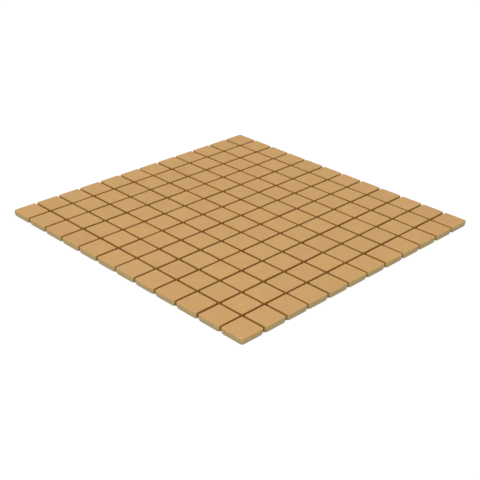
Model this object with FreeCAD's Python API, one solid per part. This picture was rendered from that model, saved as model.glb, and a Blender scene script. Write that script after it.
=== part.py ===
import FreeCAD, Part
import math
import os

# Mosaic tile sheet lying flat, face up, in millimetres.
# The origin is at the middle of the plane that the sheet lies on, +Z is up,
# and the tile rows run along X.

# One pressed ceramic tile
tile_side = 23.0
tile_thickness = 5.6
corner_radius = 1.3
back_corner_radius = 2.0
arris_radius = 0.5
taper_width = 0.4
taper_height = 2.0

# The sheet
tiles_per_row = 12
row_count = 12
joint_width = 2.0

# The glass-fibre net bonded to the tile backs, whose mesh is evened out to end on a thread
nominal_mesh = 5.0
thread_width = 0.9
thread_thickness = 0.2
net_setback = 2.0

# Straight chords that stand for a quarter round
corner_chords = 1
arris_chords = 2

tile_pitch = tile_side + joint_width
sheet_length = tiles_per_row * tile_pitch - joint_width
sheet_width = row_count * tile_pitch - joint_width
back_level = 2 * thread_thickness


def rounded_square(inset, height, radius=corner_radius):
    """Outline of the tile at one height, its sides drawn in by inset from the widest one."""
    centre = tile_side / 2 - inset - radius
    points = []
    for side_x, side_y, start in ((1, 1, 0), (-1, 1, 90), (-1, -1, 180), (1, -1, 270)):
        for chord in range(corner_chords + 1):
            angle = math.radians(start + 90 * chord / corner_chords)
            x = side_x * centre + radius * math.cos(angle)
            y = side_y * centre + radius * math.sin(angle)
            points.append(FreeCAD.Vector(x, y, height))
    return points


def flat_face(points):
    return Part.Face(Part.makePolygon(points + points[:1]))


def loft_outlines(outlines):
    """Solid with flat faces between outlines that have like corners."""
    faces = [flat_face(outlines[0][::-1]), flat_face(outlines[-1])]
    for lower, upper in zip(outlines, outlines[1:]):
        next_lower = lower[1:] + lower[:1]
        next_upper = upper[1:] + upper[:1]
        for corners in zip(lower, next_lower, next_upper, upper):
            faces.append(flat_face(list(corners)))
    return Part.Solid(Part.Shell(faces))


def make_tile():
    """Tile with a drafted back edge and rounder back corners, an upright wall and a rounded top edge."""
    outlines = [rounded_square(taper_width, 0, back_corner_radius), rounded_square(0, taper_height)]
    wall_top = tile_thickness - arris_radius
    for chord in range(arris_chords + 1):
        angle = math.radians(90 * chord / arris_chords)
        inset = arris_radius * (1 - math.cos(angle))
        outlines.append(rounded_square(inset, wall_top + arris_radius * math.sin(angle)))
    return loft_outlines(outlines)


def make_tile_row(tile, row):
    """Row of tiles with their backs on the net."""
    y = (tile_side - sheet_width) / 2 + row * tile_pitch
    tiles = []
    for column in range(tiles_per_row):
        x = (tile_side - sheet_length) / 2 + column * tile_pitch
        tiles.append(tile.translated(FreeCAD.Vector(x, y, back_level)))
    return Part.makeCompound(tiles)


def half_net(sheet_extent):
    """Half the extent of the net, which is trimmed inside the outer edges of the tile backs."""
    return sheet_extent / 2 - taper_width - net_setback


def make_threads(along, across, level):
    """Flat threads along X, from one edge of the net to the other, with one through the middle."""
    half_length = half_net(along)
    outermost = half_net(across) - thread_width / 2
    to_each_side = round(outermost / nominal_mesh)
    threads = []
    for place in range(-to_each_side, to_each_side + 1):
        y = outermost * place / to_each_side
        corner = FreeCAD.Vector(-half_length, y - thread_width / 2, level)
        threads.append(Part.makeBox(2 * half_length, thread_width, thread_thickness, corner))
    return Part.makeCompound(threads)


def make_net():
    """Lower threads along Y, and on them the upper threads along X."""
    warp = make_threads(sheet_width, sheet_length, 0)
    warp.rotate(FreeCAD.Vector(0, 0, 0), FreeCAD.Vector(0, 0, 1), 90)
    weft = make_threads(sheet_length, sheet_width, thread_thickness)
    return warp, weft


os.makedirs("parts", exist_ok=True)
tile = make_tile()
for row in range(row_count):
    make_tile_row(tile, row).exportStep(f"parts/tile_row_{row + 1:02d}.step")
net_warp, net_weft = make_net()
net_warp.exportStep("parts/net_warp.step")
net_weft.exportStep("parts/net_weft.step")
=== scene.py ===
import math

import bpy
import numpy as np
from mathutils import Matrix, Vector


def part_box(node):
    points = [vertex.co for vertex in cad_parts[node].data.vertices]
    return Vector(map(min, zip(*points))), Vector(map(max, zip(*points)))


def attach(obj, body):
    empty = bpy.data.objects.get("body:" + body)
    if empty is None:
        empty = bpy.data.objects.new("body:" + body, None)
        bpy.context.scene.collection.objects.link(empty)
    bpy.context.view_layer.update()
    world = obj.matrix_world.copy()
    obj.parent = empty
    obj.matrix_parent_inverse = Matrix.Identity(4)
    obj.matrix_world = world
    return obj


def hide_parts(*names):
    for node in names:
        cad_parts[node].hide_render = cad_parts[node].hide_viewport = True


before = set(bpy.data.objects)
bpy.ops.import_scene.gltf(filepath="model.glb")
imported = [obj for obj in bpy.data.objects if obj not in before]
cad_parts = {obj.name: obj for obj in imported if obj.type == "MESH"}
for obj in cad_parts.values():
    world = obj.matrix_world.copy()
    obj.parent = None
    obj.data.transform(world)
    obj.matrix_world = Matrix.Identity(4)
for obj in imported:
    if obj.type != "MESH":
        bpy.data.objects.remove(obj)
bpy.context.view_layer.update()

MM = 0.001

# Sizes read from the frame, in millimetres
row_names = sorted(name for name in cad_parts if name.startswith("tile_row"))
row_boxes = [[np.array(corner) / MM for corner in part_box(name)] for name in row_names]
tile_side = row_boxes[0][1][1] - row_boxes[0][0][1]
tile_pitch = row_boxes[1][0][1] - row_boxes[0][0][1]
joint_width = tile_pitch - tile_side
back_level = row_boxes[0][0][2]
top_level = row_boxes[0][1][2]
tile_thickness = top_level - back_level
sheet_length = row_boxes[0][1][0] - row_boxes[0][0][0]
tiles_per_row = round((sheet_length + joint_width) / tile_pitch)
row_count = len(row_names)
sheet_half = row_boxes[0][1][0]
net_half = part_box("net_warp")[1][0] / MM

# The tile's form, as in the part's source, and its back edge, which is rounded here
corner_radius = 1.3
back_corner_radius = 2.0
arris_radius = 0.5
taper_width = 0.4
taper_height = 2.0
back_round = 0.2
corner_steps = 6
arris_steps = 6
flat_ring = 0.2
corner_draw = 0.6

# Insets and heights from the edge of the back up to the upright wall
low_profile = [
    (taper_width + back_round, 0.0),
    (taper_width + 0.3 * back_round, 0.3 * back_round),
    (0.86 * taper_width, back_round),
    (0.1 * taper_width, taper_height - 0.25),
    (0.0, taper_height + 0.2),
]

# How much one tile differs from the next
shrink_most = 0.12
shrink_waves = (2, 3, 5)
shift_most = 0.22
edge_shift_share = 0.4
turn_most = math.radians(0.25)
thin_most = 0.05

# The waffle pressed into the tile's back
pads_across = 3
groove_depth = 0.35
groove_width = 2.2
groove_slope = 0.35
back_margin = 0.7

# How deep the coat goes on the sheet's outer sides and at crossings of joints, and how it fades out
edge_coat = 0.9
crossing_coat = 1.4
fade_below = 0.3
fade_above = 0.8
coat_wander = 0.1

# Depths below the top between which painted shade darkens the coat in the joints
shade_start = 0.05
shade_end = 0.6

# Distances in from the sheet's outer sides: their own reach, and where the painted shade in the joints
# turns olive
outer_full = 0.2
end_shade_start = 3.5
end_shade_full = 1.5

# Distances in from a tile's side: the reach of a crossing, and the start of the back
crossing_full = 0.3
back_start = 0.7
back_full = 0.9

# Height of the pale foot of the body
foot_height = 2.5

# How far the colour wanders, from tile to tile and within one
tile_tone_most = 0.02
tile_hue_most = 0.16
cloud_tone_most = 0.035
cloud_hue_most = 0.6
grain_tone_most = 0.03
body_grain_most = 0.05

# Noise scales for each millimetre, and the relief that the noise gives
cloud_scale = 0.09
hue_scale = 0.12
speck_scale = 1.3
grain_scale = 3.1
cloud_relief = 0.05
grain_relief = 0.03

# Roughness of the coat and the body, and how far it wanders
coat_rough = 0.7
body_rough = 0.85
rough_wander = 0.05

# Glue along the upper threads: how far it spreads to each side and up, how dense and how smooth it is
film_solid = 0.9
film_reach = 1.3
film_wander = 0.3
film_full_height = 0.02
film_height = 0.1
film_density = 0.7
film_smoothness = 0.5

# The net's threads, and the yarns in them
nominal_mesh = 5.0
thread_width = 0.9
warp_yarn_width = 0.5
warp_yarn_height = 0.13
warp_twist_width = 0.22
warp_steps = 4
warp_sides = 4
warp_wave = 23
weft_width = 0.85
weft_height = 0.14
weft_steps = 2
weft_sides = 6
weft_wave = 31
sway_most = 0.05
phase_most = 6.3
filament_across = 12.0
filament_along = 0.6
filament_relief = 0.04
patch_scale = 0.35

outermost_thread = net_half - thread_width / 2
threads_each_side = round(outermost_thread / nominal_mesh)
mesh_pitch = outermost_thread / threads_each_side

# The studio: the floor's glow to the camera, with none under the sheet, and the surroundings
floor_reach = 3000.0
glow_strength = 1.2
glow_share = 0.65
glow_start = 6.0
glow_full = 3.0
world_strength = 0.7

# Edges that bend more than this are shaded sharp
sharp_angle = math.radians(38)

SEED = 7


def srgb(red, green, blue):
    """Linear colour of a written 0 to 255 colour."""
    shares = [channel / 255 for channel in (red, green, blue)]
    return [s / 12.92 if s <= 0.04045 else ((s + 0.055) / 1.055) ** 2.4 for s in shares] + [1.0]


# Colours as they are written on screen
COAT_WARM = srgb(207, 163, 102)
COAT_PALE = srgb(204, 160, 106)
# The next two colours are painted shade on the joints' walls, the second one near the joints' ends
COAT_JOINT_SHADE = srgb(172, 123, 54)
COAT_END_SHADE = srgb(160, 131, 68)
BODY_LIGHT = srgb(188, 164, 114)
BODY_DARK = srgb(171, 147, 101)
BODY_FOOT = srgb(172, 159, 126)
GLUE_FILM = srgb(214, 205, 176)
YARN_WHITE = srgb(232, 230, 222)
FLOOR_WHITE = srgb(235, 235, 235)


class Graph:
    """Nodes of one material or world, made by short calls. Numbers go straight onto the sockets."""

    def __init__(self, owner):
        owner.use_nodes = True
        self.owner = owner
        self.tree = owner.node_tree
        self.tree.nodes.clear()

    def node(self, kind, inputs=(), **settings):
        made = self.tree.nodes.new(kind)
        for key, value in settings.items():
            setattr(made, key, value)
        for key, value in dict(inputs).items():
            if isinstance(value, bpy.types.NodeSocket):
                self.tree.links.new(value, made.inputs[key])
            else:
                made.inputs[key].default_value = value
        return made

    def calc(self, operation, first, second=0.0):
        return self.node("ShaderNodeMath", {0: first, 1: second}, operation=operation).outputs[0]

    def vector(self, operation, first, second=(0.0, 0.0, 0.0)):
        return self.node("ShaderNodeVectorMath", {0: first, 1: second}, operation=operation).outputs[0]

    def noise(self, vector, scale, detail=2.0, roughness=0.5):
        inputs = {"Vector": vector, "Scale": scale, "Detail": detail, "Roughness": roughness}
        return self.node("ShaderNodeTexNoise", inputs).outputs["Fac"]

    def remap(self, value, low, high, to_low=0.0, to_high=1.0, smooth=False):
        inputs = {"Value": value, "From Min": low, "From Max": high, "To Min": to_low, "To Max": to_high}
        kind = "SMOOTHSTEP" if smooth else "LINEAR"
        return self.node("ShaderNodeMapRange", inputs, interpolation_type=kind).outputs["Result"]

    def spread(self, noise, low, high):
        """Noise, most of which lies from 0.3 to 0.7, spread from low to high."""
        return self.remap(noise, 0.3, 0.7, low, high)

    def mix(self, factor, first, second, blend="MIX"):
        inputs = {0: factor, 6: first, 7: second}
        return self.node("ShaderNodeMix", inputs, data_type="RGBA", blend_type=blend).outputs[2]

    def scale_colour(self, colour, share):
        """Colour times a number that varies over the surface."""
        grey = self.node("ShaderNodeCombineColor", {0: share, 1: share, 2: share}).outputs[0]
        return self.mix(1.0, colour, grey, "MULTIPLY")

    def seen_directly(self, *kinds):
        """1 for rays of the kinds named, 0 for the others."""
        path = self.node("ShaderNodeLightPath")
        seen = path.outputs[kinds[0]]
        for kind in kinds[1:]:
            seen = self.calc("MAXIMUM", seen, path.outputs[kind])
        return seen

    def finish(self, shader, kind="ShaderNodeOutputMaterial"):
        self.node(kind, {"Surface": shader.outputs[0]})
        return self.owner

    def finish_principled(self, inputs, height):
        """Principled surface with the inputs given, and bump from a height in millimetres."""
        bump = self.node("ShaderNodeBump", {"Height": height, "Distance": MM, "Strength": 1.0})
        inputs = {**inputs, "Normal": bump.outputs["Normal"]}
        return self.finish(self.node("ShaderNodeBsdfPrincipled", inputs))


def millimetres(graph):
    """Place on the part in millimetres, and its three coordinates."""
    place = graph.node("ShaderNodeTexCoord").outputs["Object"]
    place = graph.vector("MULTIPLY", place, (1 / MM,) * 3)
    split = graph.node("ShaderNodeSeparateXYZ", {0: place})
    return place, split.outputs["X"], split.outputs["Y"], split.outputs["Z"]


def square_reach(graph, x, y):
    """How far out from the middle of the sheet, measured in squares."""
    return graph.calc("MAXIMUM", graph.calc("ABSOLUTE", x), graph.calc("ABSOLUTE", y))


def face_colour(graph, place, cloud, grain):
    """Colour of the coat on the faces, and how light it is from place to place."""
    corner = graph.vector("ADD", place, ((sheet_length + joint_width) / 2,) * 2 + (0.0,))
    cell = graph.vector("FLOOR", graph.vector("DIVIDE", corner, (tile_pitch,) * 3))
    each_tile = graph.node("ShaderNodeTexWhiteNoise", {"Vector": cell}, noise_dimensions="3D")
    tile_hue = graph.node("ShaderNodeSeparateColor", {0: each_tile.outputs["Color"]}).outputs[1]

    tone = graph.remap(each_tile.outputs["Value"], 0.0, 1.0, 1 - tile_tone_most, 1 + tile_tone_most)
    tone = graph.calc("MULTIPLY", tone, graph.spread(cloud, 1 - cloud_tone_most, 1 + cloud_tone_most))
    tone = graph.calc("MULTIPLY", tone, graph.spread(grain, 1 - grain_tone_most, 1 + grain_tone_most))

    elsewhere = graph.vector("ADD", place, (500.0, 0.0, 0.0))
    cloud_hue = graph.noise(elsewhere, hue_scale, 3.0, 0.6)
    hue = graph.calc("ADD", graph.remap(tile_hue, 0.0, 1.0, 0.5 - tile_hue_most, 0.5 + tile_hue_most),
                     graph.spread(cloud_hue, -cloud_hue_most, cloud_hue_most))
    return graph.mix(graph.remap(hue, 0.0, 1.0), COAT_WARM, COAT_PALE), tone


def glue_share(graph, y, z, speck):
    """1 where glue has squeezed out along the upper threads."""
    beside = graph.calc("PINGPONG", y, mesh_pitch / 2)
    film = graph.calc("ADD", beside, graph.spread(speck, -film_wander, film_wander))
    film = graph.remap(film, film_reach, film_solid, smooth=True)
    near_net = graph.remap(z, back_level + film_height, back_level + film_full_height)
    return graph.calc("MULTIPLY", film, near_net)


def tile_material():
    """Matt ochre coat on faces and in the joints, darkened there by painted shade; khaki body on the
    sheet's outer sides and the backs.
    """
    graph = Graph(bpy.data.materials.new("matt_ochre_tile"))
    place, x, y, z = millimetres(graph)
    cloud = graph.noise(place, cloud_scale, 3.0, 0.6)
    grain = graph.noise(place, grain_scale, 3.0, 0.6)
    speck = graph.noise(place, speck_scale, 2.0, 0.5)

    # How far out on the sheet, and how near to a crossing of joints
    reach = square_reach(graph, x, y)
    outer = graph.remap(reach, sheet_half - corner_radius, sheet_half - outer_full, smooth=True)
    from_joint_x = graph.calc("PINGPONG", x, tile_pitch / 2)
    from_joint_y = graph.calc("PINGPONG", y, tile_pitch / 2)
    from_crossing = graph.calc("MAXIMUM", from_joint_x, from_joint_y)
    from_side = graph.calc("MINIMUM", from_joint_x, from_joint_y)
    wall = joint_width / 2
    crossing = graph.remap(from_crossing, wall + corner_radius, wall + crossing_full, smooth=True)
    crossing = graph.calc("MULTIPLY", crossing, graph.calc("LESS_THAN", reach, sheet_half - tile_side / 2))

    # Painted shade: the coat darkens with depth down a joint, and turns olive near the joint's ends
    line = graph.calc("ADD", z, graph.spread(speck, -coat_wander, coat_wander))
    joint_shade = graph.remap(line, top_level - shade_start, top_level - shade_end, smooth=True)
    joint_shade = graph.calc("MULTIPLY", joint_shade, graph.calc("SUBTRACT", 1.0, outer))
    end_shade = graph.remap(reach, sheet_half - end_shade_start, sheet_half - end_shade_full, smooth=True)
    coat, tone = face_colour(graph, place, cloud, grain)
    coat = graph.mix(joint_shade, coat, graph.mix(end_shade, COAT_JOINT_SHADE, COAT_END_SHADE))
    coat = graph.scale_colour(coat, tone)

    # The body is paler at its foot
    body = graph.mix(graph.remap(speck, 0.38, 0.62), BODY_DARK, BODY_LIGHT)
    body = graph.mix(graph.remap(z, back_level + foot_height, back_level, smooth=True), body, BODY_FOOT)
    body = graph.scale_colour(body, graph.spread(grain, 1 - body_grain_most, 1 + body_grain_most))

    # The coat ends just below the rounded edge on the sheet's outer sides, and near the back in the joints
    coat_depth = graph.remap(crossing, 0.0, 1.0, tile_thickness - back_round, crossing_coat)
    less = graph.calc("SUBTRACT", edge_coat, coat_depth)
    coat_depth = graph.calc("ADD", coat_depth, graph.calc("MULTIPLY", outer, less))
    above = graph.calc("ADD", graph.calc("SUBTRACT", line, top_level), coat_depth)
    coat_share = graph.remap(above, -fade_below, fade_above, smooth=True)

    # None of it is on the back, nor in the grooves there
    back = graph.remap(from_side, wall + back_start, wall + back_full)
    back = graph.calc("MULTIPLY", back, graph.calc("LESS_THAN", z, back_level + 2 * groove_depth))
    coat_share = graph.calc("MULTIPLY", coat_share, graph.calc("SUBTRACT", 1.0, back))

    film = glue_share(graph, y, z, speck)
    colour = graph.mix(coat_share, body, coat)
    colour = graph.mix(graph.calc("MULTIPLY", film, film_density), colour, GLUE_FILM)
    rough = graph.remap(coat_share, 0.0, 1.0, body_rough, coat_rough)
    rough = graph.calc("SUBTRACT", rough, graph.calc("MULTIPLY", film, film_smoothness))
    rough = graph.calc("ADD", rough, graph.spread(grain, -rough_wander, rough_wander))
    grain_height = graph.calc("MULTIPLY", grain, grain_relief)
    height = graph.calc("ADD", grain_height, graph.calc("MULTIPLY", cloud, cloud_relief))
    look = {"Base Color": colour, "Roughness": rough, "IOR": 1.45, "Specular IOR Level": 0.25}
    return graph.finish_principled(look, height)


def yarn_material(name, along):
    """Coated glass yarn with fine filaments running along it."""
    graph = Graph(bpy.data.materials.new(name))
    place = millimetres(graph)[0]
    stretch = [filament_across] * 3
    stretch[along] = filament_along
    filament = graph.noise(graph.vector("MULTIPLY", place, tuple(stretch)), 1.0, 2.0, 0.6)
    patch = graph.noise(place, patch_scale)
    tone = graph.calc("MULTIPLY", graph.spread(filament, 0.86, 1.04), graph.spread(patch, 0.94, 1.03))
    look = {
        "Base Color": graph.scale_colour(YARN_WHITE, tone),
        "Roughness": graph.spread(patch, 0.4, 0.6),
        "IOR": 1.5,
    }
    return graph.finish_principled(look, graph.calc("MULTIPLY", filament, filament_relief))


def floor_material():
    """White floor that takes the sheet's shadow, and partly glows to the camera to end in plain white."""
    graph = Graph(bpy.data.materials.new("white_floor"))
    shade = graph.node("ShaderNodeBsdfDiffuse", {"Color": FLOOR_WHITE})
    glow = graph.node("ShaderNodeEmission", {"Color": (1, 1, 1, 1), "Strength": glow_strength})
    seen = graph.seen_directly("Is Camera Ray", "Is Glossy Ray", "Is Transmission Ray")

    # There is no glow under the sheet, so the bottoms of its joints stay dark
    x, y = millimetres(graph)[1:3]
    reach = square_reach(graph, x, y)
    clear = graph.remap(reach, sheet_half - glow_start, sheet_half - glow_full, smooth=True)
    share = graph.calc("MULTIPLY", graph.calc("MULTIPLY", seen, clear), glow_share)
    both = {0: share, 1: shade.outputs[0], 2: glow.outputs[0]}
    return graph.finish(graph.node("ShaderNodeMixShader", both))


def place_mesh(name, points, faces, material, nodes):
    """New piece from points in millimetres."""
    mesh = bpy.data.meshes.new(name)
    mesh.from_pydata((np.asarray(points) * MM).tolist(), [], faces)
    mesh.validate()
    mesh.polygons.foreach_set("use_smooth", [True] * len(mesh.polygons))
    mesh.set_sharp_from_angle(angle=sharp_angle)
    mesh.materials.append(material)
    piece = bpy.data.objects.new(name, mesh)
    bpy.context.scene.collection.objects.link(piece)
    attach(piece, "root")
    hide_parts(*nodes)
    return piece


def waffle_lines():
    """Places of the lines across the back, and which of them are on a pad."""
    half = tile_side / 2 - taper_width - back_round - back_margin
    pad = (2 * half - (pads_across - 1) * groove_width) / pads_across
    lines = []
    on_pad = []
    for number in range(pads_across):
        start = -half + number * (pad + groove_width)
        if number:
            lines.append(start - groove_slope)
            on_pad.append(False)
        lines += [start, start + pad]
        on_pad += [True, True]
        if number < pads_across - 1:
            lines.append(start + pad + groove_slope)
            on_pad.append(False)
    return np.array(lines), np.array(on_pad)


def outline(half, radius, height, side_shares):
    """Points round the tile at one height, from the low end of its +X side."""
    straight = half - radius
    points = []
    for quarter in range(4):
        turn = math.pi / 2 * quarter
        side = [(half, share * straight) for share in side_shares]
        for step in range(1, corner_steps):
            angle = math.pi / 2 * step / corner_steps
            side.append((straight + radius * math.cos(angle), straight + radius * math.sin(angle)))
        for x, y in side:
            turned_x = x * math.cos(turn) - y * math.sin(turn)
            turned_y = x * math.sin(turn) + y * math.cos(turn)
            points.append((turned_x, turned_y, height))
    return points


def tile_mesh():
    """Points and faces of one tile, centred on the origin, its back at height 0."""
    lines, on_pad = waffle_lines()
    count = len(lines)
    shares = lines / lines[-1]
    half = tile_side / 2

    # Insets and heights from the back's edge, up the side and over the rounded edge
    profile = list(low_profile)
    for step in range(arris_steps + 1):
        angle = math.pi / 2 * step / arris_steps
        inset = arris_radius * (1 - math.cos(angle))
        profile.append((inset, tile_thickness - arris_radius * (1 - math.sin(angle))))
    profile.append((arris_radius + flat_ring, tile_thickness))

    points = []
    for inset, height in profile:
        lowness = max(1 - height / taper_height, 0.0)
        radius = corner_radius + lowness * (back_corner_radius - corner_radius)
        if height > tile_thickness / 2:
            radius = corner_radius - corner_draw * inset
        points += outline(half - inset, radius, height, shares)
    around = len(points) // len(profile)
    faces = []
    for level in range(len(profile) - 1):
        for place in range(around):
            after = (place + 1) % around
            low, high = level * around, (level + 1) * around
            faces.append((low + place, low + after, high + after, high + place))
    top = (len(profile) - 1) * around
    faces.append(tuple(range(top, top + around)))

    # The back: a grid whose pads stand down to height 0
    grid = len(points)
    for j in range(count):
        for i in range(count):
            height = 0.0 if on_pad[i] and on_pad[j] else groove_depth
            points.append((lines[i], lines[j], height))
    for j in range(count - 1):
        for i in range(count - 1):
            low, high = grid + j * count + i, grid + (j + 1) * count + i
            faces.append((low, high, high + 1, low + 1))

    # Strips between the back's edge and the grid, with a fan at each corner
    last = count - 1
    borders = [
        [grid + j * count + last for j in range(count)],
        [grid + last * count + i for i in range(last, -1, -1)],
        [grid + j * count for j in range(last, -1, -1)],
        [grid + i for i in range(count)],
    ]
    quarter_points = around // 4
    for quarter, border in enumerate(borders):
        first = quarter * quarter_points
        for place in range(last):
            faces.append((first + place, border[place], border[place + 1], first + place + 1))
        for place in range(last, quarter_points):
            faces.append((first + place, border[-1], (first + place + 1) % around))
    return np.array(points), faces


def make_rows():
    """Each row of tiles as one mesh, every tile a little different."""
    points, faces = tile_mesh()
    material = tile_material()
    random = np.random.default_rng(SEED)
    around = np.arctan2(points[:, 1], points[:, 0])
    for row, (name, (low, high)) in enumerate(zip(row_names, row_boxes)):
        row_points = []
        row_faces = []
        for column in range(tiles_per_row):
            centre_x = low[0] + tile_side / 2 + column * tile_pitch
            centre = np.array([centre_x, (low[1] + high[1]) / 2, back_level])
            shrink = sum(
                random.uniform(0, shrink_most / len(shrink_waves))
                * (1 + np.cos(waves * around + random.uniform(0, 2 * math.pi))) / 2
                for waves in shrink_waves
            )
            share = 1 - (shrink + tile_side / 2 * math.sin(turn_most)) / (tile_side / 2)
            turn = random.uniform(-turn_most, turn_most)
            shift = random.uniform(-shift_most, shift_most, 2)

            # The outermost tiles only move inwards
            at_low_end = np.array([column == 0, row == 0]) * 1
            at_high_end = np.array([column == tiles_per_row - 1, row == row_count - 1]) * 1
            inward = at_low_end - at_high_end
            shift = np.where(inward == 0, shift, inward * np.abs(shift) * edge_shift_share)
            moved = points.copy()
            x, y = points[:, 0] * share, points[:, 1] * share
            moved[:, 0] = x * math.cos(turn) - y * math.sin(turn) + shift[0]
            moved[:, 1] = x * math.sin(turn) + y * math.cos(turn) + shift[1]
            moved[:, 2] *= 1 - random.uniform(0, thin_most) / tile_thickness
            start = column * len(points)
            row_points.append(moved + centre)
            row_faces += [tuple(start + corner for corner in face) for face in faces]
        place_mesh(name + "_tiles", np.concatenate(row_points), row_faces, material, [name])


def yarn(route, width, height, along, sides):
    """Points and faces of one flat yarn whose section lies across the direction along."""
    across = 1 - along
    angles = np.arange(sides) * 2 * math.pi / sides
    points = np.repeat(route, sides, axis=0)
    points[:, across] += np.tile(width / 2 * np.cos(angles), len(route))
    points[:, 2] += np.tile(height / 2 * np.sin(angles), len(route))
    faces = []
    for ring in range(len(route) - 1):
        for side in range(sides):
            after = (side + 1) % sides
            low, high = ring * sides, (ring + 1) * sides
            faces.append((low + side, low + after, high + after, high + side))
    faces.append(tuple(range(sides - 1, -1, -1)))
    faces.append(tuple(range(len(route) * sides - sides, len(route) * sides)))
    if along == 0:
        return points, faces
    return points, [face[::-1] for face in faces]


def join(parts):
    """Points and faces of several meshes as one."""
    points = []
    faces = []
    start = 0
    for part_points, part_faces in parts:
        points.append(part_points)
        faces += [tuple(start + corner for corner in face) for face in part_faces]
        start += len(part_points)
    return np.concatenate(points), faces


def make_net():
    """Leno net: pairs of twisted warp yarns hold the straight flat weft yarns between them."""
    random = np.random.default_rng(SEED + 1)
    places = np.linspace(-outermost_thread, outermost_thread, 2 * threads_each_side + 1)
    middle = back_level / 2
    rise = (back_level - warp_yarn_height) / 2

    run = np.linspace(-net_half, net_half, 1 + warp_steps * 2 * threads_each_side)
    turn = math.pi * run / mesh_pitch
    for number, chosen in enumerate(np.array_split(places, 2), start=1):
        parts = []
        for x in chosen:
            sway = sway_most * np.sin(run / warp_wave + random.uniform(0, phase_most))
            hand = random.choice((-1, 1))
            for side in (-1, 1):
                route = np.zeros((len(run), 3))
                route[:, 0] = x + sway + side * hand * warp_twist_width * np.sin(turn)
                route[:, 1] = run
                route[:, 2] = middle + side * rise * np.cos(turn)
                parts.append(yarn(route, warp_yarn_width, warp_yarn_height, 1, warp_sides))
        points, faces = join(parts)
        material = yarn_material(f"warp_yarn_{number}", 1)
        place_mesh(f"net_warp_{number}", points, faces, material, ["net_warp"])

    parts = []
    run = np.linspace(-net_half, net_half, 1 + weft_steps * 2 * threads_each_side)
    for y in places:
        route = np.zeros((len(run), 3))
        route[:, 0] = run
        route[:, 1] = y + sway_most * np.sin(run / weft_wave + random.uniform(0, phase_most))
        route[:, 2] = middle
        parts.append(yarn(route, weft_width, weft_height, 0, weft_sides))
    points, faces = join(parts)
    place_mesh("net_weft_yarns", points, faces, yarn_material("weft_yarn", 0), ["net_weft"])


def make_floor():
    """Level white floor under the sheet."""
    mesh = bpy.data.meshes.new("floor")
    reach = floor_reach * MM
    corners = [(-reach, -reach, 0.0), (reach, -reach, 0.0), (reach, reach, 0.0), (-reach, reach, 0.0)]
    mesh.from_pydata(corners, [], [(0, 1, 2, 3)])
    mesh.materials.append(floor_material())
    floor = bpy.data.objects.new("floor", mesh)
    bpy.context.scene.collection.objects.link(floor)


def make_light():
    """Even white surroundings, a large soft lamp from the left, and a small one near the front corner."""
    world = bpy.data.worlds.new("studio")
    bpy.context.scene.world = world
    graph = Graph(world)
    seen = graph.seen_directly("Is Camera Ray", "Is Transmission Ray")
    strength = graph.remap(seen, 0.0, 1.0, world_strength, 1.0)
    background = graph.node("ShaderNodeBackground", {"Color": (1, 1, 1, 1), "Strength": strength})
    graph.finish(background, "ShaderNodeOutputWorld")

    add_lamp("key", (-2.6, -0.86, 4.0), size=3.0, power=80.0)
    add_lamp("front_fill", (-0.26, -0.26, 0.3), size=0.1, power=0.05)


def add_lamp(name, place, size, power):
    """Square lamp that faces the sheet."""
    data = bpy.data.lights.new(name, "AREA")
    data.size = size
    data.energy = power
    lamp = bpy.data.objects.new(name, data)
    lamp.location = place
    lamp.rotation_euler = (-lamp.location).to_track_quat("-Z", "Y").to_euler()
    lamp.visible_camera = False
    bpy.context.scene.collection.objects.link(lamp)


def make_camera():
    """Camera fitted to the photo's tile joints: in front of one corner, rolled a little."""
    data = bpy.data.cameras.new("camera")
    data.sensor_width = 36.0
    data.lens = 70.74
    data.clip_start = 0.01
    data.clip_end = 50.0
    camera = bpy.data.objects.new("camera", data)
    azimuth = math.radians(43.980)
    elevation = math.radians(-27.121)
    roll = math.radians(1.764)
    flat = math.cos(elevation)
    forward = Vector((flat * math.cos(azimuth), flat * math.sin(azimuth), math.sin(elevation)))
    level_right = forward.cross(Vector((0, 0, 1))).normalized()
    level_up = level_right.cross(forward)
    right = math.cos(roll) * level_right + math.sin(roll) * level_up
    up = math.cos(roll) * level_up - math.sin(roll) * level_right
    turned = Matrix((right, up, -forward)).transposed()
    camera.matrix_world = Matrix.Translation((-0.56993, -0.54972, 0.38545)) @ turned.to_4x4()
    bpy.context.scene.collection.objects.link(camera)
    bpy.context.scene.camera = camera


make_rows()
make_net()
make_floor()
make_light()
make_camera()
bpy.context.scene.view_settings.view_transform = "Standard"
